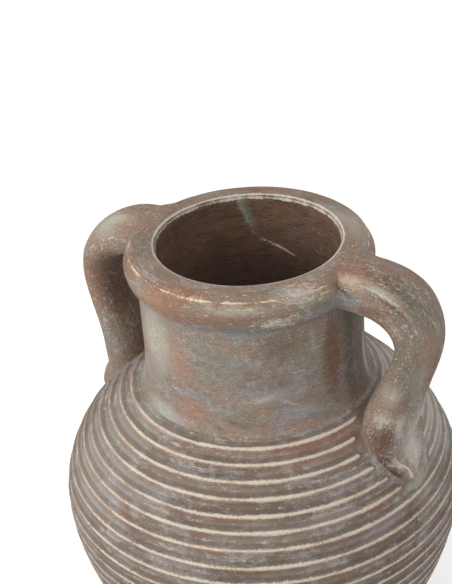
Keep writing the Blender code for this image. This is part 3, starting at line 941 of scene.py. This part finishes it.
def makeHandle(name, shape, potTable, material):
    field, strap = handleField(shape, potTable)
    points, faces = closedSurface(field, handleLow, handleHigh, shape["cell"])
    points = settle(field, points)
    _, along, out, _, fromRidge = strap(*points.T)
    travel, sideways, reach, strokes = shape["thumbed"]
    (radius, height), _ = alongLine(shoulderLine(), travel)
    away = np.linalg.norm(points - (radius, sideways, height), axis=1)
    weight = shape["firmness"] * smoothStep(reach, 0.5 * reach, away)
    points = thumbed(points, faces, weight, strokes)
    mesh = bpy.data.meshes.new(name)
    mesh.from_pydata((points * mm).tolist(), [], faces.tolist())
    mesh.update()
    normals = np.empty(len(points) * 3, np.float32)
    mesh.vertices.foreach_get("normal", normals)
    own = Vector((shape["turn"], 0, 0))  # so that the two handles have lumps of their own
    lumps = np.array([noise.noise(Vector(point) / shape["lumpSize"] + own) for point in points])
    points = points + normals.reshape(-1, 3) * (lumps * shape["lump"])[:, None]
    mesh.vertices.foreach_set("co", (points * mm).astype(np.float32).ravel())
    addField(mesh, "brush", "FLOAT_VECTOR", np.stack([along, out, fromRidge], 1))
    mesh.transform(Matrix.Rotation(math.radians(shape["turn"]), 4, "Z"))
    mesh.shade_smooth()
    print("pulled", name, len(faces), "faces")
    return finished(name, mesh, material)


# Looks: what the brush and the rag left on each piece, and some painted light and shade. Colours are named in
# clayHex, and lengths are in mm.

# mottle and bump: how much the grit and the strokes show as light and dark, and as relief
# strokes: 1 for each axis of the brush's run that the strokes lie along; bristle: their spacing and stretch
# layer: colour, size and stretch of its clouds, bare and full, strength, raggedness
# patch: azimuth, radius, height, (deep, around, up), tilt, colour, strength, raggedness
# streak: along and across the brush's run, (length, width), colour, strength, raggedness
# ring: radius, height, width, patchiness, hairs, colour, strength, raggedness
# crest: middle, width, thinner, patchiness, hairs, colour, strength, raggedness. A middle of 0 lies along the
# crest itself, and another one uphill or downhill of it. Thinner is for the side away from thickSide.
# the hollow's painted shade, darker deeper down: how far below the top, colour, strength

washSeed = 2.0  # another number lays the same wash differently

# the unwashed inside of the pot, with painted shade deeper down
hollowClayAndShade = dict(
    clay="#74543f",
    layers=[
        ("umber", 30, 1.6, 0.44, 0.60, 0.55, 0.5),
        ("rust", 18, 1.2, 0.52, 0.64, 0.45, 0.5),
        ("taupe", 20, 1.3, 0.54, 0.70, 0.60, 0.5),
        ("soot", 2.0, 7.0, 0.48, 0.64, 0.65, 0.5),
        ("taupe", 1.3, 9.0, 0.54, 0.72, 0.45, 0.5),
    ],
    # painted shade, darker towards the bottom of the hollow
    depthShade=(105, "soot", 0.72),
)

# wash that ran down inside the mouth, and a scratch, on the rim's bore and the neck's
boreMarks = [
    (122, 79, 434, (8, 5.5, 24), -18, "moss", 0.70, 2.0),
    (124, 79, 436, (8, 2.2, 20), -18, "ash", 0.45, 3.0),
    (102, 80, 398, (8, 17, 1.2), 24, "cream", 0.75, 2.6),
]

bodyLook = dict(
    clay="#7c7064", strokes=(1, 1, 0), bristle=(1.1, 7), seed=washSeed,
    mottle=0.22, bump=0.8, roughness=0.86,
    layers=[
        ("umber", 30, 2.6, 0.47, 0.64, 0.55, 0.20),
        ("rust", 24, 3.0, 0.53, 0.68, 0.50, 0.20),
        ("lilac", 20, 2.2, 0.48, 0.62, 0.65, 0.25),
        ("ash", 26, 1.8, 0.52, 0.64, 0.65, 0.25),
        ("moss", 16, 1.6, 0.55, 0.68, 0.55, 0.25),
        ("lime", 12, 2.0, 0.60, 0.70, 0.45, 0.30),
        ("cream", 12, 1.4, 0.78, 0.94, 0.45, 0.90),
    ],
    inside=hollowClayAndShade,
    patches=[
        (-32, 116, 309, (60, 82, 6), 0, "rust", 0.45, 1.0),
        (-32, 127, 301, (60, 70, 6), 0, "rust", 0.28, 1.0),
        (-122, 150, 275, (60, 60, 60), 0, "ash", 0.45, 0.8),
        (22, 150, 275, (50, 50, 55), 0, "ash", 0.60, 0.8),
        (40, 130, 300, (50, 50, 36), 0, "ash", 0.60, 0.8),
        (8, 155, 288, (20, 26, 26), 0, "ash", 0.60, 1.2),
        # partly paler wash, partly painted light on the shoulder past the right handle
        (32, 140, 285, (60, 68, 54), 0, "pale", 0.95, 1.6),
        (34, 132, 296, (60, 60, 40), 0, "cream", 0.35, 2.4),
        (-4, 163, 258, (16, 20, 12), 0, "lime", 0.55, 2.4),
        (-14, 142, 304, (12, 4.0, 22), -14, "lime", 0.45, 2.4),
        (-16, 146, 294, (12, 3.0, 20), -16, "ash", 0.60, 1.4),
        (-62, 150, 262, (40, 60, 14), 0, "moss", 0.40, 0.9),
        (-118, 112, 312, (20, 26, 5), 0, "ash", 0.55, 0.8),
    ],
    thickSide=-50,
    crest=[
        # the dark bands above and below each crest: partly clay colour, partly painted shade beside the ribs
        (-3.6, 2.4, 0.5, 1.8, 1.2, "umber", 0.45, 0.6),
        (3.2, 1.6, 0.0, 1.6, 1.2, "rust", 0.25, 0.6),
        (0.0, 2.4, 0.5, 2.2, 1.6, "orange", 0.35, 1.2),
        (0.0, 1.8, 1.2, 1.9, 2.4, "cream", 0.80, 1.0),
    ],
)

neckLook = dict(
    clay="#887b6e", strokes=(1, 1, 0), bristle=(1.2, 5), seed=washSeed + 3,
    mottle=0.50, bump=0.7, roughness=0.86,
    layers=[
        ("terracotta", 34, 1.4, 0.48, 0.64, 0.65, 0.15),
        ("umber", 26, 1.6, 0.53, 0.68, 0.50, 0.15),
        ("lilac", 28, 1.5, 0.48, 0.64, 0.60, 0.20),
        ("moss", 22, 1.5, 0.52, 0.66, 0.50, 0.20),
        ("lime", 13, 1.8, 0.60, 0.72, 0.40, 0.25),
        ("lime", 1.4, 9.0, 0.60, 0.74, 0.32, 0.20),
    ],
    inside=hollowClayAndShade,
    patches=[
        (-116, 97, 384, (30, 26, 34), 0, "lime", 0.50, 0.9),
        (-99, 97, 380, (30, 15, 34), 0, "terracotta", 0.45, 0.9),
        (-77, 97, 385, (30, 21, 34), 0, "moss", 0.40, 0.7),
        (-46, 97, 398, (30, 22, 14), 0, "walnut", 0.40, 0.7),
        (-29, 97, 398, (12, 3.5, 17), 6, "lilac", 0.60, 0.7),
        *boreMarks,
        (-17, 97, 376, (20, 11, 38), 0, "rust", 0.50, 0.7),
        (-17, 97, 372, (20, 12, 44), 0, "walnut", 0.55, 0.5),
        # partly dark clay, partly painted shade on the neck beside the right handle
        (-5, 97, 362, (25, 9, 55), 0, "soot", 0.35, 0.7),
        (12, 97, 380, (20, 9, 40), 0, "moss", 0.60, 0.5),
        (-57, 97, 350, (20, 12, 3.0), 8, "cream", 0.50, 5.0),
        (-42, 97, 352, (20, 16, 10), 0, "lilac", 0.50, 0.8),
        (-38, 99, 333, (20, 18, 8), 0, "lilac", 0.60, 1.0),
        (-93, 100, 334, (20, 26, 10), -6, "terracotta", 0.60, 0.7),
        (-111, 102, 322, (20, 25, 7), 0, "ash", 0.80, 0.8),
        (-62, 97, 414, (20, 34, 4), 0, "slate", 0.75, 0.6),
        # partly a cream lime band, partly painted light on the neck's shaded edge by the right handle
        (17, 97, 344, (20, 6.5, 30), 0, "cream", 0.75, 0.8),
    ],
)

# where hands have rubbed the rim, and its handles with it
wornRings = [
    (101.5, pot["top"] - 4.0, 1.2, 4.0, 2.2, "orange", 0.45, 1.5),
    (101.2, pot["top"] - 4.0, 0.6, 2.2, 2.6, "cream", 0.75, 3.4),
    (99.0, pot["top"] - 2.6, 0.5, 2.2, 2.6, "orange", 0.45, 3.4),
    (103.0, pot["top"] - 5.6, 0.5, 2.2, 2.6, "orange", 0.45, 3.4),
    (104.6, pot["top"] - 7.5, 0.6, 4.0, 2.6, "cream", 0.40, 1.5),
]

# clay pressed round the joint of rim and handle, and painted shade in its crease, so both pieces wear them
rightJoint = [
    (-6, 104, 447, (24, 26, 12), 0, "rust", 0.40, 1.6),
    (-13, 103, 441, (20, 12, 12), 0, "umber", 0.35, 2.0),
    (-15, 108, 431, (22, 18, 8), 0, "slate", 0.85, 1.0),
    # painted shade: a dark line in the crease where the right handle meets the rim
    (-16, 105, 437, (12, 1.6, 8), 16, "soot", 0.70, 0.8),
]
leftJoint = [
    (-170, 106, 445, (26, 24, 14), 0, "rust", 0.35, 1.6),
    (-163, 108, 436, (20, 12, 12), 0, "taupe", 0.40, 1.6),
]

rimLook = dict(
    clay="#80705f", strokes=(1, 1, 0), bristle=(1.1, 6), seed=washSeed + 6,
    mottle=0.42, bump=0.8, roughness=0.84,
    layers=[
        ("rust", 26, 2.4, 0.47, 0.62, 0.60, 0.20),
        ("umber", 20, 2.4, 0.53, 0.68, 0.50, 0.20),
        ("lilac", 20, 2.2, 0.50, 0.66, 0.65, 0.25),
        ("moss", 16, 2.2, 0.54, 0.66, 0.55, 0.25),
        ("lime", 10, 2.2, 0.61, 0.72, 0.45, 0.30),
        ("cream", 12, 1.6, 0.78, 0.94, 0.45, 0.90),
    ],
    inside=hollowClayAndShade,
    patches=[
        (-75, 106, 434, (12, 52, 8), 0, "rust", 0.35, 1.2),
        (-150, 95, 448, (20, 34, 10), 0, "umber", 0.35, 1.2),
        (40, 95, 449, (20, 34, 10), 0, "lime", 0.35, 2.0),
        (-30, 103, 425, (12, 22, 6), 0, "slate", 0.75, 1.0),
        (-74, 98, 419, (8, 50, 4), 0, "slate", 0.60, 0.8),
        (-47, 103, 426, (9, 12, 4.0), 0, "cream", 0.90, 9.0),
        (-35, 101, 446, (12, 14, 5), 0, "cream", 0.60, 7.0),
        (-66, 103, 441, (12, 24, 4), 0, "lime", 0.45, 4.0),
        (-108, 106, 436, (10, 26, 7), 0, "orange", 0.25, 2.6),
        *rightJoint,
        *leftJoint,
        *boreMarks,
    ],
    rings=[
        (80.6, pot["top"] - 0.6, 1.5, 0.9, 1.1, "cream", 0.65, 1.4),
        (78.4, pot["top"] - 2.6, 1.6, 2.2, 2.0, "lime", 0.60, 1.5),
        (78.2, pot["top"] - 3.0, 0.8, 2.2, 2.2, "cream", 0.60, 1.5),
        *wornRings,
    ],
)

handleLook = dict(
    clay="#8c7868", strokes=(1, 0, 0), bristle=(1.1, 4), seed=washSeed + 9,
    mottle=0.68, bump=1.4, roughness=0.84,
    layers=[
        ("rust", 20, 2.4, 0.46, 0.62, 0.40, 0.40),
        ("umber", 17, 2.4, 0.50, 0.68, 0.50, 0.80),
        ("lilac", 17, 2.2, 0.54, 0.68, 0.50, 0.40),
        ("moss", 15, 2.2, 0.52, 0.66, 0.55, 0.60),
        ("lime", 10, 2.2, 0.62, 0.80, 0.40, 0.90),
        ("cream", 12, 1.6, 0.80, 1.00, 0.45, 1.00),
    ],
)

rightLook = dict(
    handleLook,
    patches=[
        (-10, 120, 450, (34, 20, 9), 0, "rust", 0.45, 3.0),
        (-15, 130, 426, (20, 12, 6), 0, "walnut", 0.50, 0.8),
        (-6, 162, 422, (14, 12, 26), 0, "moss", 0.60, 1.6),
        (-9, 158, 374, (14, 7.5, 44), 0, "olive", 0.95, 3.0),
        (-7, 161, 376, (14, 8, 40), 0, "lime", 0.45, 6.0),
        (-2, 168, 378, (14, 7, 36), 0, "terracotta", 0.65, 2.4),
        (-13, 146, 372, (12, 8, 30), 0, "rust", 0.50, 1.2),
        (-10, 151, 338, (10, 6, 10), 0, "rust", 0.60, 2.4),
        (-14, 148, 306, (14, 9, 22), -8, "walnut", 0.80, 1.6),
        (-3, 158, 318, (18, 14, 42), -14, "ash", 0.95, 1.6),
        (-2, 160, 296, (26, 17, 26), 0, "ash", 0.90, 0.9),
        # partly pale wash, partly painted light on the pad's flank
        (1, 160, 298, (32, 26, 40), -8, "pale", 0.95, 2.2),
        (2, 160, 298, (32, 24, 38), -8, "cream", 0.75, 3.0),
        (6, 160, 290, (30, 10, 30), 0, "lilac", 0.40, 3.0),
        (-11.6, 151, 350, (10, 3.6, 7), -8, "lime", 0.45, 6.0),
        (-10.3, 154, 320, (10, 3.6, 11), -6, "pale", 0.75, 4.0),
        (-14, 146, 326, (12, 10, 4.5), 0, "cream", 0.60, 8.0),
        *rightJoint,
    ],
    streaks=[
        (50, -6.0, (20, 7.0), "olive", 0.70, 4.0),
        (20, -12.0, (13, 4.0), "orange", 0.60, 3.0),
        (20, -12.5, (11, 3.5), "cream", 0.35, 6.0),
        (42, -12.8, (16, 3.0), "lime", 0.50, 3.0),
        (50, -15.5, (15, 1.2), "soot", 0.55, 2.0),
        (46, -14.2, (15, 0.8), "cream", 0.50, 4.0),
        (42, -21.0, (18, 3.5), "rust", 0.50, 2.4),
        # partly dark clay, partly painted shade on the toe's steep left flank
        (214, -4.4, (17, 3.0), "soot", 0.80, 1.2),
        (224, 0.3, (13, 1.1), "cream", 0.80, 1.8),
    ],
    rings=wornRings,
)

leftLook = dict(
    handleLook, seed=washSeed + 14,
    patches=[
        (-174, 138, 441, (22, 18, 11), 0, "lime", 0.62, 2.6),
        (-176, 122, 445, (16, 8, 4), 0, "cream", 0.50, 4.0),
        (-178, 152, 425, (18, 20, 16), 0, "ash", 0.40, 2.0),
        (-171, 150, 385, (14, 16, 34), 0, "rust", 0.35, 1.4),
        # painted shade on the left handle's inner face, which looks at the neck
        (-176, 136, 370, (12, 18, 44), 0, "walnut", 0.60, 0.8),
        (-171, 143, 322, (16, 18, 16), 0, "moss", 0.55, 1.2),
        *leftJoint,
    ],
    rings=wornRings,
)

baseLook = dict(
    clay="#7b5c4a", strokes=(1, 1, 0), bristle=(1.1, 6), seed=washSeed + 12,
    mottle=0.14, bump=0.9, roughness=0.9,
    layers=[
        ("umber", 20, 2.0, 0.45, 0.66, 0.70, 0.30),
        ("terracotta", 12, 2.0, 0.50, 0.66, 0.60, 0.30),
        ("lilac", 10, 2.0, 0.58, 0.68, 0.40, 0.40),
    ],
)


# Stage

lamps = dict(
    dome=0.5,  # strength of the white surroundings on the clay
    glowNear=0.45,  # what the camera sees on top of the light on the floor's paper, round the pot
    glowFar=0.62,  # and where the lamps have faded, so that the paper stays white
    fade=(0.9, 2.0),  # metres from the pot between the two
    paperHalf=12.0,  # metres from the pot to the edge of the paper
    key=dict(place=(-1500, -500, 1150), size=900, power=19.0),  # mm as the camera sees them, and watts
    fill=dict(place=(200, -900, 1700), size=1000, power=9.0),
)


def seenDirectly(node):
    # 1 for what the camera sees by itself, in a reflection or through glass
    ray = node("ShaderNodeLightPath").outputs
    seen = node("ShaderNodeMath", ray["Is Camera Ray"], ray["Is Glossy Ray"], operation="MAXIMUM")
    return node("ShaderNodeMath", seen, ray["Is Transmission Ray"], operation="MAXIMUM")


def makeFloor():
    half = lamps["paperHalf"]
    mesh = bpy.data.meshes.new("studio floor")
    corners = [(-half, -half, 0), (half, -half, 0), (half, half, 0), (-half, half, 0)]
    mesh.from_pydata(corners, [], [(0, 1, 2, 3)])
    floor = addObject("studio floor", mesh)
    paper = bpy.data.materials.new("white paper sweep")
    node = emptied(paper)
    place = node("ShaderNodeTexCoord").outputs["Object"]
    away = node("ShaderNodeVectorMath", place, operation="LENGTH").outputs["Value"]
    near, far = lamps["fade"]
    inputs = {0: away, 1: near, 2: far, 3: lamps["glowNear"], 4: lamps["glowFar"]}
    glow = node("ShaderNodeMapRange", inputs)
    glow = node("ShaderNodeMath", seenDirectly(node), glow, operation="MULTIPLY")
    paint = node("ShaderNodeBsdfDiffuse", {"Color": linearColour("#e6e6e6")})
    light = node("ShaderNodeEmission", {"Color": (1, 1, 1, 1), "Strength": glow})
    both = node("ShaderNodeAddShader", paint, light)
    node("ShaderNodeOutputMaterial", {"Surface": both})
    mesh.materials.append(paper)


def makeWorld():
    world = bpy.data.worlds.new("studio")
    bpy.context.scene.world = world
    node = emptied(world)
    inputs = {0: seenDirectly(node), 1: 0.0, 2: 1.0, 3: lamps["dome"], 4: 1.0}
    strength = node("ShaderNodeMapRange", inputs)
    sky = node("ShaderNodeBackground", {"Color": (1, 1, 1, 1), "Strength": strength})
    node("ShaderNodeOutputWorld", {"Surface": sky})


def makeLamps(middle):
    turned = Matrix.Rotation(math.radians(view["turn"]), 4, "Z")
    for name in ("key", "fill"):
        settings = lamps[name]
        data = bpy.data.lights.new(name + " softbox", "AREA")
        data.shape = "SQUARE"
        data.size = settings["size"] * mm
        data.energy = settings["power"]
        lamp = addObject(name + " softbox", data)
        lamp.location = turned @ Vector(settings["place"]) * mm
        toPot = Vector((0, 0, middle * mm)) - lamp.location
        lamp.rotation_euler = toPot.to_track_quat("-Z", "Y").to_euler()


ribs = dict(
    height=0.95,  # mm the crests stand over the wall
    valley=0.45,  # and the valleys lie under it
    fromNeck=9.0,  # mm from the neck's base to the first crest
    fromSeam=6.6,  # mm from the belly's seam, half a space, so that the ribs run on across it
    fromFoot=42.0,  # plain band over the foot
)


def ribRuns():
    # where the ribs of the shoulder and of the lower body start and stop, from each outline's first point
    shoulderLead = pot["flareRadius"] - tongueRadius() - joint["slip"]
    shoulderLength = lengths(spaced(shoulderLine(), joint["fine"]))[-1]
    bodyLead = joint["tongue"] + pot["wall"] - joint["slip"]
    bodyLength = lengths(bodyLine())[-1]
    runs = (
        (shoulderLead + ribs["fromNeck"], shoulderLead + shoulderLength - ribs["fromSeam"]),
        (bodyLead + ribs["fromSeam"], bodyLead + bodyLength - ribs["fromFoot"]),
    )
    relief = {"Rib Height": ribs["height"], "Valley Depth": ribs["valley"]}
    return [relief | {"First Rib": first, "Last Rib": last} for first, last in runs]


def main():
    bpy.context.scene.view_settings.view_transform = "Standard"
    makeCamera(pot["top"])
    makeFloor()
    makeWorld()
    makeLamps(pot["belly"])
    print("camera, stage and lamps ready")

    tree = turningTree()
    handleNodes = bpy.data.collections.new("handles that the ribs stop at")
    for node in ("right_handle", "left_handle"):
        handleNodes.objects.link(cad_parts[node])
    shoulderRibs, bodyRibs = ribRuns()
    bare = washedClay("bare terracotta", baseLook)
    turned = {
        "shoulder": (shoulderOutline(), washedClay("limewashed ribbed terracotta", bodyLook), shoulderRibs),
        "lower_body": (bodyOutline(), washedClay("limewashed ribbed terracotta, lower", bodyLook), bodyRibs),
        "neck": (neckOutline(), washedClay("brushed limewash on terracotta", neckLook), {}),
        "rim": (rimOutline(), washedClay("rubbed terracotta rim", rimLook), {}),
        "base_slab": (slabOutline(), bare, {"Around": 180}),
        "foot_ring": (ringOutline(), bare, {"Lump Height": 0.0}),
    }
    pieces = {}
    for node, (outline, clay, sizes) in turned.items():
        pieces[node] = turnPiece(node + "_clay", tree, outline, clay, sizes | {"Handles": handleNodes})
    bpy.data.collections.remove(handleNodes)

    potTable = potField()
    for node, shape, clay in (
        ("right_handle", rightShape, washedClay("rubbed terracotta, right handle", rightLook)),
        ("left_handle", leftShape, washedClay("rubbed terracotta, left handle", leftLook)),
    ):
        pieces[node] = makeHandle(node + "_clay", shape, potTable, clay)

    for node, piece in pieces.items():
        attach(piece, "root")
        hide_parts(node)
    print("pieces placed")


main()
